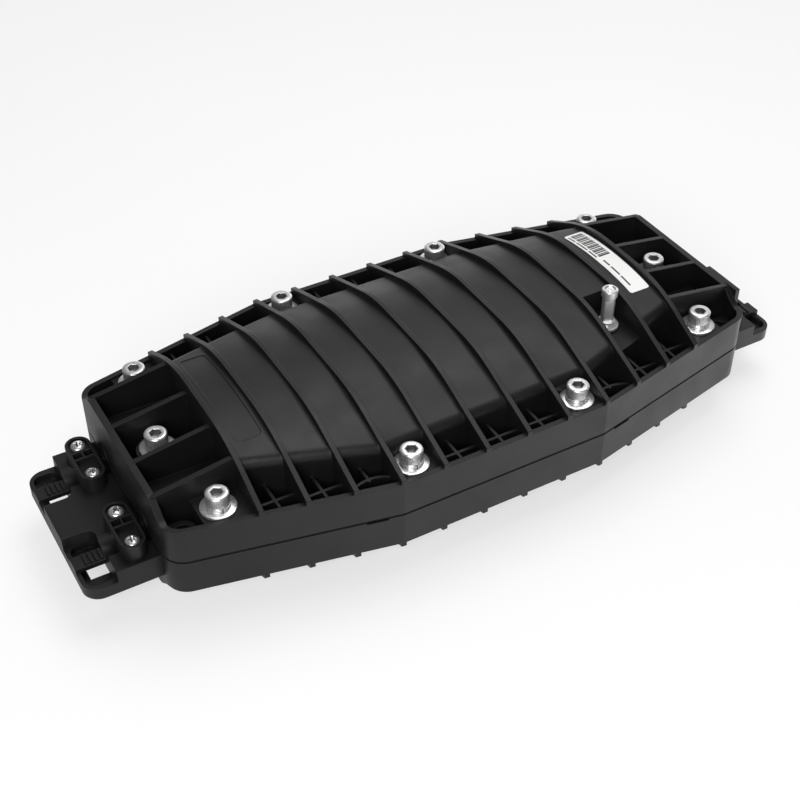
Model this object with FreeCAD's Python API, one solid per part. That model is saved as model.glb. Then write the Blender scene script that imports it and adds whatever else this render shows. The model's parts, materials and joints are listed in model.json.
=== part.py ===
import FreeCAD, Part
import math
import os

os.makedirs("parts", exist_ok=True)
V = FreeCAD.Vector

# Heights are measured from the parting plane between the two half-shells.
# The finished pieces are lifted so that the lower ribs stand on z = 0.

# plan of the flange
half_width = 94.2
end_x = 193.0
end_half_width = 67.2
plan_round = 13.0
parting_rebate = 0.7

# walls and ribs of a half-shell
wall = 3.3
wall_top = 22.4
flange_plate = 6.0
rib_thick = 3.0
end_room = 49.7
last_rib_x = end_x - end_room
rib_spread = 0.05
rib_crown = 45.6
rib_bend_y = 36.7
rib_bend_round = 90.0
rib_end_top = wall_top + 2.5
cross_rib_top = 18.5
cross_rib_thick = 1.8
curved_bar_sag = 4.0

# dome between the ribs
skin = 3.5
skin_crown = 43.5
skin_flat = 2.0
skin_bend_round = 183.0
skin_fall = 0.51
flange_pocket = 23.2
end_pocket = 17.2
dome_half_width = half_width - flange_pocket
dome_end_half_width = end_half_width - end_pocket
dome_end_x = last_rib_x + rib_thick / 2
dome_side_wall = 4.0
shoulder_round = 6.5

# compartments at the ends
rim_top = 32.3
rim_thick = 4.0
rim_half_width = 46.0
rim_ramp = 12.0
rim_ramp_round = 9.0
end_rib_ys = (16.2, 45.7)
end_rib_thick = 3.0
end_rib_top = 39.5
lug_depth = 2.6
lug_span = (-54.0, -28.0)

# cover screws, M8
corner_bolt_from_dome = 15.2
corner_bolt_edge = 15.0
side_bolt_from_rib = 12.0
side_bolt_edge = 13.9
end_bolt_edge = 22.7
bolt_seat = 20.5
bolt_r = 4.0
bolt_hole_r = 4.5
bolt_length = 45.0
washer_relief_high = 8.0
bolt_head_r = 6.5
bolt_head_high = 8.0
bolt_socket_flats = 6.0
bolt_socket_deep = 4.0
flat_washer_r = 10.2
flat_washer_thick = 1.8
washer_relief = 0.15
spring_washer_r = 6.9
spring_washer_thick = 2.0
nut_flats = 13.0
nut_high = 6.5
nut_pocket_clear = 0.15
end_boss_r = 12.0
shelf_reach = 11.5

# mounting holes at the corners
mount_edge_x = 12.5
mount_edge_y = 9.7
mount_x = end_x - mount_edge_x
mount_y = end_half_width - mount_edge_y
mount_hole_r = 4.5
mount_boss_r = 8.0
mount_boss_top = 12.0

# cable ports and their plugs
port_y = 30.4
port_r = 9.0
port_groove_r = 12.0
port_groove_from_dome = 11.9
port_groove_x = dome_end_x + port_groove_from_dome
port_groove_long = 11.0
port_roof = 15.0
plug_clear = 0.05

# sealing cords
cord_wide = 4.6
cord_high = 3.2
cord_groove_clear = 0.1
cord_offset = 0.5
cord_y = dome_half_width + cord_offset
cord_end_y = dome_end_half_width + cord_offset

# pry slots on the parting line
pry_from_corner = 14.7
pry_long = 12.4
pry_high = 1.8
pry_deep = 3.0

# cable wings of the lower half
wing_long = 42.2
wing_x = end_x + wing_long
wing_half_width = 51.9
wing_top = -5.5
wing_bottom = -21.0
wing_round = 10.0
wing_rim_top = -13.4
pocket_deep = 17.7
pocket_x = wing_x - pocket_deep
pocket_outer_wall = 2.5
pocket_ys = (15.0, 48.0)
pocket_floor = -18.0
pocket_round = 5.0
saddle_ys = (25.4, 35.4)
saddle_top = -10.4
saddle_thick = 3.0
saddle_teeth = 4
saddle_tooth_step = 2.9
saddle_tooth_wide = 1.5
saddle_tooth_high = 1.2
saddle_tooth_start = 1.2
drain_edge = 6.6
drain_x = (pocket_x, wing_x - drain_edge)
drain_ys = (22.4, 38.4)
trough_r = 9.5
trough_z = -1.0
hollow_half_width = 12.0

# cable clamps
clamp_from_end = 11.0
clamp_x = end_x + clamp_from_end
clamp_long = 38.6
clamp_wide = 14.6
clamp_top = 4.8
clamp_rim = 1.6
clamp_front_floor = 0.9
clamp_back_floor = 2.9
clamp_bar = 1.2
clamp_light_long = 4.6
clamp_arch_r = 7.0
clamp_arch_z = -7.5
clamp_screw_pitch = 23.2
clamp_screw_tip = -17.0
m4_r = 2.0
m4_hole_r = 2.1
m4_head_r = 4.3
m4_head_high = 3.1

# air valve
valve_y = -38.0
platform_z = 26.3
platform_thick = 3.8
platform_back_y = -23.5
valve_hole_r = 4.2
valve_stem_r = 4.0
valve_flat_half = 3.1
valve_flat_turn = -27.0
valve_flange_r = 7.4
valve_flange_high = 1.5
valve_collar_r = 5.0
valve_collar_high = 3.2
valve_seal_thick = 1.2
valve_shoulder_z = 49.3
valve_mouth_z = 52.0
valve_mouth_r = 3.2
valve_bore_r = 1.7
valve_tail_z = 12.0
pin_r = 0.9
pin_head_r = 1.6
pin_travel = 1.5
cap_r = 4.85
cap_top = 54.6
cap_skirt_gap = 0.3
cap_rim = 1.4
cap_dish = 0.9
cap_boss_r = 1.1
cap_clear = 0.06
cap_washer_thick = 0.7

# splice trays
post_r = 5.0
post_cover = 0.8
post_from_dome = 50.1
post_x = dome_end_x - post_from_dome
post_y = 38.0
bracket_z = -26.0
bracket_thick = 1.5
bracket_gaps = (33.1, 40.1)
bracket_x = (bracket_gaps[0] - dome_end_x, dome_end_x - bracket_gaps[1])
bracket_half_width = 46.0
bracket_screw_long = 10.0
ear_long = 12.0
ear_x = bracket_x[0] + ear_long
ear_top = 9.0
tray_gaps = (47.1, 41.1)
tray_x = (tray_gaps[0] - dome_end_x, dome_end_x - tray_gaps[1])
tray_foot_r = 4.0
tray_foot_x = 70.0
tray_foot_y = 30.0
tray_half_width = 43.5
tray_pitch = 10.4
tray_wall = 1.8
tray_floor = 1.6
tray_round = 14.0
lid_thick = 1.5
hinge_reach = 8.0
hinge_x = tray_x[0] - hinge_reach
hinge_pin_r = 1.5
hinge_hole_r = 1.6
hinge_lug_y = 36.0
hinge_lug_thick = 6.0
comb_long = 60.0
comb_half_width = 18.0
comb_fins = 7
comb_fin_thick = 1.5
comb_high = 6.4

# anchors for strength members
anchor_from_dome = 17.1
anchor_x = dome_end_x - anchor_from_dome
anchor_screw_long = 14.0
anchor_seat = -12.0
anchor_thick = 4.0
anchor_size = (14.0, 18.0)

# label
label_gaps = (7.8, 3.1)
label_ys = (-33.5, 38.0)
label_thick = 0.25
label_glue = 0.12
label_round = 1.6

# blank panel sunk in the first bay
panel_gaps = (3.6, 3.0)
panel_ys = (-38.0, 42.5)
panel_deep = 0.35
panel_round = 3.0

# stations of the six ribs each way; the bays get a little wider to the middle
rib_xs = []
for number in range(6):
    share = (2 * number + 1) / 11
    rib_xs.append(last_rib_x * share * (1 + rib_spread * (1 - share)))
mid_corner_x = rib_xs[2]
pry_x = mid_corner_x + pry_from_corner
valve_x = (rib_xs[3] + rib_xs[4]) / 2
label_x = (rib_xs[4] + label_gaps[0], rib_xs[5] - label_gaps[1])
panel_x = (-rib_xs[5] + rib_thick / 2 + panel_gaps[0], -rib_xs[4] - rib_thick / 2 - panel_gaps[1])

to_yz = FreeCAD.Placement(V(0, 0, 0), FreeCAD.Rotation(V(1, 1, 1), 120))
lift = V(0, 0, rib_crown)


def box(x0, x1, y0, y1, z0, z1):
    return Part.makeBox(x1 - x0, y1 - y0, z1 - z0, V(x0, y0, z0))


def rod(radius, x, y, z0, z1):
    return Part.makeCylinder(radius, z1 - z0, V(x, y, z0))


def rod_along_x(radius, x0, x1, y, z):
    return Part.makeCylinder(radius, x1 - x0, V(x0, y, z), V(1, 0, 0))


def rod_along_y(radius, x, y0, y1, z):
    return Part.makeCylinder(radius, y1 - y0, V(x, y0, z), V(0, 1, 0))


def rounded_face(points, radii):
    """Flat face on z = 0 from a polygon whose corners are rounded."""
    corners = [V(x, y, 0) for x, y in points]
    count = len(corners)
    starts = []
    ends = []
    arcs = []
    for i in range(count):
        corner = corners[i]
        before = (corners[i - 1] - corner).normalize()
        after = (corners[(i + 1) % count] - corner).normalize()
        half_angle = before.getAngle(after) / 2
        reach = radii[i] / math.tan(half_angle)
        starts.append(corner + before * reach)
        ends.append(corner + after * reach)
        bisector = (before + after).normalize()
        sag = radii[i] / math.sin(half_angle) - radii[i]
        arcs.append(corner + bisector * sag)
    edges = []
    for i in range(count):
        if radii[i] > 0:
            edges.append(Part.Arc(starts[i], arcs[i], ends[i]).toShape())
        edges.append(Part.makeLine(ends[i], starts[(i + 1) % count]))
    return Part.Face(Part.Wire(edges))


def prism(points, radii, z0, z1):
    """Upright block on a rounded polygon."""
    block = rounded_face(points, radii).extrude(V(0, 0, z1 - z0))
    block.translate(V(0, 0, z0))
    return block


def sharp_prism(points, z0, z1):
    return prism(points, [0] * len(points), z0, z1)


def section_block(points, radii, x0, x1):
    """Block with a section in the y-z plane, running along x."""
    face = rounded_face(points, radii)
    face.Placement = to_yz
    block = face.extrude(V(x1 - x0, 0, 0))
    block.translate(V(x0, 0, 0))
    return block


def side_block(points, y0, y1):
    """Block with a section in the x-z plane, running along y."""
    face = Part.Face(Part.makePolygon([V(x, y0, z) for x, z in points + points[:1]]))
    return face.extrude(V(0, y1 - y0, 0))


def hexagon(flats, x, y, z0, z1):
    radius = flats / math.sqrt(3)
    points = []
    for i in range(6):
        turn = math.radians(60 * i)
        points.append((x + radius * math.cos(turn), y + radius * math.sin(turn)))
    return sharp_prism(points, z0, z1)


def inset(points, distance):
    """Corners of a convex counter-clockwise polygon after its sides move in."""
    lines = []
    count = len(points)
    for i in range(count):
        x0, y0 = points[i]
        x1, y1 = points[(i + 1) % count]
        length = math.hypot(x1 - x0, y1 - y0)
        nx = (y0 - y1) / length
        ny = (x1 - x0) / length
        lines.append((nx, ny, nx * x0 + ny * y0 + distance))
    corners = []
    for i in range(count):
        a0, b0, c0 = lines[i - 1]
        a1, b1, c1 = lines[i]
        det = a0 * b1 - a1 * b0
        corners.append(((c0 * b1 - c1 * b0) / det, (a0 * c1 - a1 * c0) / det))
    return corners


def octagon(mid_x, mid_y, far_x, far_y):
    """Counter-clockwise plan with straight middle sides and tapered ends."""
    return [(mid_x, -mid_y), (far_x, -far_y), (far_x, far_y), (mid_x, mid_y),
            (-mid_x, mid_y), (-far_x, far_y), (-far_x, -far_y), (-mid_x, -mid_y)]


def fuse_all(shapes):
    return shapes[0].multiFuse(shapes[1:]).removeSplitter()


def four_ways(x, y):
    return [(x, y), (x, -y), (-x, y), (-x, -y)]


def wall_y(x):
    """Half-width of the outer wall at a station along the length."""
    taper = (half_width - end_half_width) / (end_x - mid_corner_x)
    return half_width - taper * max(0, abs(x) - mid_corner_x)


def dome_y(x):
    """Half-width of the dome at a station along the length."""
    taper = (dome_half_width - dome_end_half_width) / (rib_xs[5] - mid_corner_x)
    return dome_half_width - taper * max(0, abs(x) - mid_corner_x)


corner_bolt_x = dome_end_x + corner_bolt_from_dome
corner_bolt_y = wall_y(corner_bolt_x) - corner_bolt_edge
side_bolt_x = mid_corner_x - side_bolt_from_rib
side_bolt_y = half_width - side_bolt_edge
end_bolt_x = end_x - end_bolt_edge
corner_shelf_x = corner_bolt_x + shelf_reach


def all_bolts():
    places = four_ways(corner_bolt_x, corner_bolt_y) + four_ways(side_bolt_x, side_bolt_y)
    return places + [(end_bolt_x, 0), (-end_bolt_x, 0)]


flange_plan = octagon(mid_corner_x, half_width, end_x, end_half_width)
flange_radii = [0, plan_round, plan_round, 0, 0, plan_round, plan_round, 0]


def arched_block(drop, x0, x1):
    """Everything below the arched skin, lowered by a drop, between two stations."""
    top = skin_crown - drop
    turn = math.atan(skin_fall)
    bend_y = skin_flat + skin_bend_round * math.tan(turn / 2)
    reach = max(dome_half_width + 10, skin_flat + skin_bend_round * math.sin(turn) + 2)
    low = top - skin_fall * (reach - bend_y)
    section = [(-reach, 0), (reach, 0), (reach, low), (bend_y, top), (-bend_y, top), (-reach, low)]
    radii = [0, 0, 0, skin_bend_round, skin_bend_round, 0]
    return section_block(section, radii, x0, x1)


def skin_z(y):
    """Height of the arched skin over the parting plane."""
    out = max(0, abs(y) - skin_flat)
    return skin_crown - skin_bend_round + math.sqrt(skin_bend_round ** 2 - out ** 2)


def dome_block(thinner):
    """Dome between the flange pockets; thinner gives the space inside it."""
    side = dome_side_wall if thinner else 0
    far_x = dome_end_x - side
    plan = octagon(mid_corner_x, dome_half_width - side, far_x, dome_y(far_x) - side)
    upright = sharp_prism(plan, 0, skin_crown + 5)
    dome = upright.common(arched_block(skin if thinner else 0, -dome_end_x - 5, dome_end_x + 5))
    if thinner:
        return dome
    return dome.makeFillet(shoulder_round, shoulder_edges(dome))


def shoulder_edges(dome):
    """Long edges where the arched skin meets the sides of the dome."""
    found = []
    for edge in dome.Edges:
        ends = [vertex.Point for vertex in edge.Vertexes]
        high = min(point.z for point in ends) > flange_plate
        along = abs(ends[0].x - ends[-1].x) > rib_thick
        outer = min(abs(point.y) for point in ends) > dome_end_half_width - rib_thick
        if high and along and outer:
            found.append(edge)
    return found


def arched_rib(x):
    """Rib over the whole width, from wall to wall, with a level crown."""
    reach = wall_y(abs(x) - rib_thick / 2)
    section = [(-reach, 0), (reach, 0), (reach, rib_end_top), (rib_bend_y, rib_crown),
               (-rib_bend_y, rib_crown), (-reach, rib_end_top)]
    radii = [0, 0, 0, rib_bend_round, rib_bend_round, 0]
    return section_block(section, radii, x - rib_thick / 2, x + rib_thick / 2)


def cross_ribs(x0, x1, with_bar):
    """Low ribs in the two flange pockets of one bay."""
    middle = (x0 + x1) / 2
    half = cross_rib_thick / 2
    inner = dome_y(middle) - 3
    outer = wall_y(middle) - 1
    bar_y = (dome_y(middle) + wall_y(middle)) / 2
    pieces = []
    for side in (-1, 1):
        if with_bar:
            pieces.append(box(x0, x1, side * bar_y - half, side * bar_y + half, 0, cross_rib_top))
        else:
            pieces.append(curved_bar(x0, x1, side, bar_y))
            outer = bar_y
        ys = sorted((side * inner, side * outer))
        pieces.append(box(middle - half, middle + half, ys[0], ys[1], 0, cross_rib_top))
    return pieces


def curved_bar(x0, x1, side, bar_y):
    """Low rib that arches away from the wall behind a pry slot."""
    middle = (x0 + x1) / 2
    half = cross_rib_thick / 2
    radius = ((x1 - x0) ** 2 / 4 + curved_bar_sag ** 2) / (2 * curved_bar_sag)
    centre = side * (bar_y - curved_bar_sag / 2 + radius)
    band = ring(radius + half, radius - half, middle, centre, 0, cross_rib_top)
    ys = sorted((side * (bar_y - curved_bar_sag), side * (bar_y + curved_bar_sag)))
    return band.common(box(x0, x1, ys[0], ys[1], 0, cross_rib_top))


def flange_ribs():
    """Low ribs of every bay that has no cover screw."""
    xs = sorted([-x for x in rib_xs] + list(rib_xs))
    pieces = []
    for i in range(len(xs) - 1):
        if i not in (3, 7):
            pieces += cross_ribs(xs[i], xs[i + 1], i not in (2, 8))
    return pieces


def outer_wall():
    ring = prism(flange_plan, flange_radii, 0, wall_top)
    inner_radii = [max(0, radius - wall) for radius in flange_radii]
    return ring.cut(prism(inset(flange_plan, wall), inner_radii, flange_plate, wall_top))


def end_details(side):
    """Raised rim, lengthwise ribs and port roofs at one end."""
    ramp = rim_half_width + rim_ramp
    section = [(-end_half_width, 0), (end_half_width, 0), (end_half_width, wall_top), (ramp, wall_top),
               (rim_half_width, rim_top), (-rim_half_width, rim_top), (-ramp, wall_top),
               (-end_half_width, wall_top)]
    radii = [0, 0, 0] + [rim_ramp_round] * 4 + [0]
    pieces = [section_block(section, radii, end_x - rim_thick, end_x)]
    top = [(dome_end_x - 2, 0), (end_x - 1, 0), (end_x - 1, rim_top - 0.4), (dome_end_x - 2, end_rib_top)]
    for y in (end_rib_ys[0], end_rib_ys[1], -end_rib_ys[0], -end_rib_ys[1]):
        pieces.append(side_block(top, y - end_rib_thick / 2, y + end_rib_thick / 2))
    for y in (port_y, -port_y):
        half = (end_rib_ys[1] - end_rib_ys[0]) / 2
        pieces.append(box(dome_end_x - 2, end_x - 1, y - half, y + half, 0, port_roof))
    pieces.append(rod(end_boss_r, end_bolt_x, 0, 0, bolt_seat))
    rib_high = bolt_seat - 2.5
    pieces.append(box(dome_end_x - 2, end_x - 1, -1.2, 1.2, 0, rib_high))
    pieces.append(box(end_bolt_x - 1.2, end_bolt_x + 1.2, -end_rib_ys[0], end_rib_ys[0], 0, rib_high))
    for y in (1, -1):
        ys = sorted((y * end_rib_ys[1], y * half_width))
        pieces.append(box(dome_end_x - 2, corner_shelf_x, ys[0], ys[1], 0, bolt_seat))
        pieces += mount_pad(y)
    if side < 0:
        return [piece.rotate(V(0, 0, 0), V(0, 0, 1), 180) for piece in pieces]
    return pieces


def mount_pad(side):
    """Pad round a mounting hole, reaching into the corner of the walls."""
    y = side * mount_y
    ys = sorted((y, side * end_half_width))
    return [rod(mount_boss_r, mount_x, y, 0, mount_boss_top),
            box(mount_x, end_x - 1, y - mount_boss_r, y + mount_boss_r, 0, mount_boss_top),
            box(mount_x - mount_boss_r, end_x - 1, ys[0], ys[1], 0, mount_boss_top)]


def screw_shelves():
    """Shelves for the cover screws in the middle bays."""
    pieces = []
    for side in (-1, 1):
        for x0, x1 in ((rib_xs[1], rib_xs[2]), (-rib_xs[2], -rib_xs[1])):
            ys = sorted((side * (dome_half_width - 5), side * (half_width - 0.5)))
            pieces.append(box(x0, x1, ys[0], ys[1], 0, bolt_seat))
    return pieces


def port_cuts(upper_end):
    """Split cable tunnels and the grooves for the plugs' collars."""
    cuts = []
    for side in (-1, 1):
        for y in (port_y, -port_y):
            xs = sorted((side * (dome_end_x - 10), side * upper_end))
            cuts.append(rod_along_x(port_r, xs[0], xs[1], y, 0))
            middle = side * port_groove_x
            half = port_groove_long / 2
            cuts.append(rod_along_x(port_groove_r, middle - half, middle + half, y, 0))
    return cuts


def half_shell():
    """The moulding both halves share, standing on the parting plane."""
    pieces = [outer_wall(), dome_block(False)]
    for x in rib_xs:
        pieces.append(arched_rib(x))
        pieces.append(arched_rib(-x))
    pieces += flange_ribs() + screw_shelves() + end_details(1) + end_details(-1)
    shell = fuse_all(pieces)
    shell = shell.common(prism(flange_plan, flange_radii, 0, rib_crown + 5))
    cuts = [dome_block(True)] + port_cuts(end_x + 5)
    for x, y in all_bolts():
        cuts.append(rod(bolt_hole_r, x, y, -1, bolt_seat + 1))
        cuts.append(rod(flat_washer_r + washer_relief, x, y, bolt_seat, bolt_seat + washer_relief_high))
    for x, y in four_ways(mount_x, mount_y):
        cuts.append(rod(mount_hole_r, x, y, -1, mount_boss_top + 1))
    return shell.cut(Part.makeCompound(cuts))


def valve_room(shell):
    """Flat platform for the air valve, let into the dome between two ribs."""
    x0 = rib_xs[3] + rib_thick / 2
    x1 = rib_xs[4] - rib_thick / 2
    low = platform_z - platform_thick
    side_y = -dome_y(x0)
    fill = box(x0 - 2, x1 + 2, side_y, platform_back_y + skin, low, skin_crown + 5).common(dome_block(False))
    shell = shell.fuse(fill).removeSplitter()
    room = box(x0, x1, side_y - 6, platform_back_y, platform_z, rib_crown + 5)
    return shell.cut(room).cut(rod(valve_hole_r, valve_x, valve_y, low - 1, platform_z + 1))


def end_lug():
    """Small thickening of the right end rim."""
    return box(end_x - 0.5, end_x + lug_depth, lug_span[0], lug_span[1], wall_top, rim_top)


def upper_shell(shell):
    shell = valve_room(shell)
    shell = shell.cut(skin_patch(panel_x, panel_ys, panel_round, -panel_deep, panel_deep))
    return shell.fuse(end_lug()).removeSplitter()


def ribbon(points, half):
    """Outline of a band of even width along an open path."""
    left = []
    right = []
    for i, point in enumerate(points):
        here = V(point[0], point[1], 0)
        ways = []
        if i > 0:
            ways.append((here - V(points[i - 1][0], points[i - 1][1], 0)).normalize())
        if i < len(points) - 1:
            ways.append((V(points[i + 1][0], points[i + 1][1], 0) - here).normalize())
        along = (ways[0] + ways[-1]).normalize()
        across = V(-along.y, along.x, 0) * (half / along.dot(ways[0]))
        left.append((here.x + across.x, here.y + across.y))
        right.append((here.x - across.x, here.y - across.y))
    return left + right[::-1]


def cord_paths():
    """Centre lines of the front, back, left and right sealing cords."""
    near = port_y + port_groove_r
    far = port_y - port_groove_r
    x = port_groove_x
    bend_y = near + 3.6
    front = [(-x, -near), (-x, -bend_y), (-rib_xs[5], -cord_end_y), (-mid_corner_x, -cord_y),
             (mid_corner_x, -cord_y), (rib_xs[5], -cord_end_y), (x, -bend_y), (x, -near)]
    back = [(-px, -py) for px, py in front]
    return {"gasket_front": front, "gasket_back": back,
            "gasket_left": [(-x, far), (-x, -far)], "gasket_right": [(x, -far), (x, far)]}


def cord_block(path, half):
    return sharp_prism(ribbon(path, half), -cord_high, 0)


def cable_wing():
    """Wing at the +x end that carries two cables out of the closure."""
    plan = [(end_x - 3, -wing_half_width), (wing_x, -wing_half_width),
            (wing_x, wing_half_width), (end_x - 3, wing_half_width)]
    wing = prism(plan, [0, wing_round, wing_round, 0], wing_bottom, wing_top)
    cuts = []
    bars = []
    for side in (-1, 1):
        ys = sorted(side * y for y in pocket_ys)
        inner = wing_x - pocket_outer_wall
        corners = [(pocket_x, ys[0]), (inner, ys[0]), (inner, ys[1]), (pocket_x, ys[1])]
        cuts.append(prism(corners, [pocket_round] * 4, pocket_floor, 0))
        ys = sorted((side * pocket_ys[0], side * (wing_half_width + 5)))
        corners = [(pocket_x, ys[0]), (wing_x + 5, ys[0]), (wing_x + 5, ys[1]), (pocket_x, ys[1])]
        cuts.append(prism(corners, [pocket_round, 0, 0, pocket_round], wing_rim_top, 0))
        ys = sorted(side * y for y in drain_ys)
        cuts.append(box(drain_x[0], drain_x[1], ys[0], ys[1], wing_bottom - 1, pocket_floor + 1))
        cuts.append(rod_along_x(trough_r, end_x - 0.1, pocket_x + 1, side * port_y, trough_z))
        bars += saddle(side)
        for y in clamp_screw_ys(side):
            cuts.append(rod(m4_hole_r, clamp_x, y, clamp_screw_tip - 0.5, 0))
    cuts.append(box(end_x + 3, wing_x - 3, -hollow_half_width, hollow_half_width,
                    wing_bottom - 1, wing_top - 4))
    return wing.cut(Part.makeCompound(cuts)).multiFuse(bars).removeSplitter()


def saddle(side):
    """Bar under a cable with low teeth across it."""
    ys = sorted(side * y for y in saddle_ys)
    low = saddle_top - saddle_thick
    pieces = [box(pocket_x - 1, wing_x, ys[0], ys[1], low, saddle_top)]
    for i in range(saddle_teeth):
        x = pocket_x + saddle_tooth_start + saddle_tooth_step * i
        tooth_top = saddle_top + saddle_tooth_high
        pieces.append(box(x, x + saddle_tooth_wide, ys[0] + 1, ys[1] - 1, saddle_top - 0.5, tooth_top))
    return pieces


def clamp_screw_ys(side):
    middle = side * port_y
    return (middle - clamp_screw_pitch / 2, middle + clamp_screw_pitch / 2)


def lower_shell(shell):
    """Mirror of the shared moulding with wings, nut pockets and cord grooves."""
    lower = shell.mirror(V(0, 0, 0), V(0, 0, 1))
    wing = cable_wing()
    wing = wing.cut(Part.makeCompound(port_cuts(end_x + 0.5)))
    other = wing.mirror(V(0, 0, 0), V(1, 0, 0))
    posts = []
    for x, y in four_ways(post_x, post_y):
        posts.append(rod(post_r, x, y, post_cover - skin_z(abs(y) + post_r), bracket_z))
    for x, y in four_ways(anchor_x, port_y):
        posts.append(rod(post_r, x, y, post_cover - skin_z(abs(y) + post_r), anchor_seat))
    lower = lower.multiFuse([wing, other] + posts).removeSplitter()
    return lower.cut(Part.makeCompound(lower_cuts()))


def lower_cuts():
    cuts = []
    for x, y in all_bolts():
        cuts.append(hexagon(nut_flats + 2 * nut_pocket_clear, x, y,
                            -bolt_seat - 1, -bolt_seat + nut_high + 0.7))
    for path in cord_paths().values():
        cuts.append(cord_block(path, cord_wide / 2 + cord_groove_clear))
    for x, y in four_ways(post_x, post_y):
        cuts.append(rod(m4_hole_r, x, y, bracket_z - bracket_screw_long, bracket_z + 1))
    for x, y in four_ways(anchor_x, port_y):
        cuts.append(rod(m4_hole_r, x, y, anchor_seat - anchor_screw_long, anchor_seat + 1))
    for x, y in four_ways(pry_x, wall_y(pry_x)):
        cuts.append(box(x - pry_long / 2, x + pry_long / 2, y - pry_deep, y + pry_deep, -pry_high, 1))
    edge = prism(flange_plan, flange_radii, -parting_rebate, 0)
    inner_radii = [max(0, radius - parting_rebate) for radius in flange_radii]
    cuts.append(edge.cut(prism(inset(flange_plan, parting_rebate), inner_radii, -parting_rebate, 0)))
    return cuts


def revolved(points, x, y):
    """Solid of revolution about an upright axis from (radius, height) points."""
    wire = Part.makePolygon([V(r, 0, z) for r, z in points + points[:1]])
    solid = Part.Face(wire).revolve(V(0, 0, 0), V(0, 0, 1), 360)
    solid.translate(V(x, y, 0))
    return solid


def ring(outer, inner, x, y, z0, z1):
    return rod(outer, x, y, z0, z1).cut(rod(inner, x, y, z0 - 1, z1 + 1))


def cover_bolt(x, y):
    seat = bolt_seat + flat_washer_thick + spring_washer_thick
    top = seat + bolt_head_high
    tip = seat - bolt_length
    points = [(0, tip), (bolt_r, tip), (bolt_r, seat), (bolt_head_r, seat),
              (bolt_head_r, top - 0.7), (bolt_head_r - 0.7, top), (0, top)]
    return revolved(points, x, y).cut(hexagon(bolt_socket_flats, x, y, top - bolt_socket_deep, top + 1))


def flat_washer(x, y):
    return ring(flat_washer_r, bolt_hole_r, x, y, bolt_seat, bolt_seat + flat_washer_thick)


def spring_washer(x, y):
    """Split washer with its slot turned to the front."""
    low = bolt_seat + flat_washer_thick
    washer = ring(spring_washer_r, bolt_r + 0.15, x, y, low, low + spring_washer_thick)
    return washer.cut(box(x - 0.4, x + 0.4, y - spring_washer_r - 1, y, low - 1, low + 5))


def captive_nut(x, y):
    low = -bolt_seat
    nut = hexagon(nut_flats, x, y, low, low + nut_high)
    return nut.cut(rod(bolt_r + 0.05, x, y, low - 1, low + nut_high + 1))


def pan_screw(x, y, seat, tip):
    """M4 screw with a low domed head."""
    top = seat + m4_head_high
    points = [(0, tip), (m4_r, tip), (m4_r, seat), (m4_head_r, seat),
              (m4_head_r, seat + 1.3), (m4_head_r - 1.5, top), (0, top)]
    return revolved(points, x, y)


def stadium(long, wide, z0, z1):
    """Upright block with round ends, its long side along y, about the origin."""
    half = wide / 2
    edge = long / 2 - half
    block = box(-half, half, -edge, edge, z0, z1)
    return block.fuse([rod(half, 0, edge, z0, z1), rod(half, 0, -edge, z0, z1)]).removeSplitter()


def cable_clamp(x, y):
    """Clamp cap with a deep front pocket, two light pockets, a raised back seat and a cable arch."""
    cap = stadium(clamp_long, clamp_wide, wing_top, clamp_top)
    deep = clamp_inside(clamp_front_floor)
    light_y = clamp_bar / 2
    back_y = light_y + clamp_light_long + clamp_bar
    half = clamp_wide / 2
    cuts = [rod_along_x(clamp_arch_r, -clamp_wide, clamp_wide, 0, clamp_arch_z)]
    cuts.append(deep.common(box(-half, half, -clamp_long, -light_y, 0, clamp_top + 1)))
    for x0, x1 in ((-half, -clamp_bar / 2), (clamp_bar / 2, half)):
        cuts.append(deep.common(box(x0, x1, light_y, light_y + clamp_light_long, 0, clamp_top + 1)))
    cuts.append(clamp_inside(clamp_back_floor).common(box(-half, half, back_y, clamp_long, 0, clamp_top + 1)))
    for offset in (-clamp_screw_pitch / 2, clamp_screw_pitch / 2):
        cuts.append(rod(m4_hole_r, 0, offset, wing_top - 1, clamp_top))
    cap = cap.cut(Part.makeCompound(cuts))
    cap.translate(V(x, y, 0))
    return cap


def clamp_inside(floor):
    """Space inside the rim of a clamp above a floor."""
    return stadium(clamp_long - 2 * clamp_rim, clamp_wide - 2 * clamp_rim, floor, clamp_top + 1)


def port_plug(x_side, y):
    """Rubber plug with a collar, lying along x."""
    inner_x = dome_end_x - 3
    outer_x = end_x - 1.5
    half = port_groove_long / 2 - plug_clear
    body = rod_along_x(port_r - plug_clear, inner_x, outer_x, y, 0)
    collar = rod_along_x(port_groove_r - plug_clear, port_groove_x - half, port_groove_x + half, y, 0)
    plug = body.fuse(collar).removeSplitter()
    plug = plug.cut(rod_along_x(port_r - 3, outer_x - 6, outer_x + 1, y, 0))
    if x_side < 0:
        plug = plug.mirror(V(0, 0, 0), V(1, 0, 0))
    return plug


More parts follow.
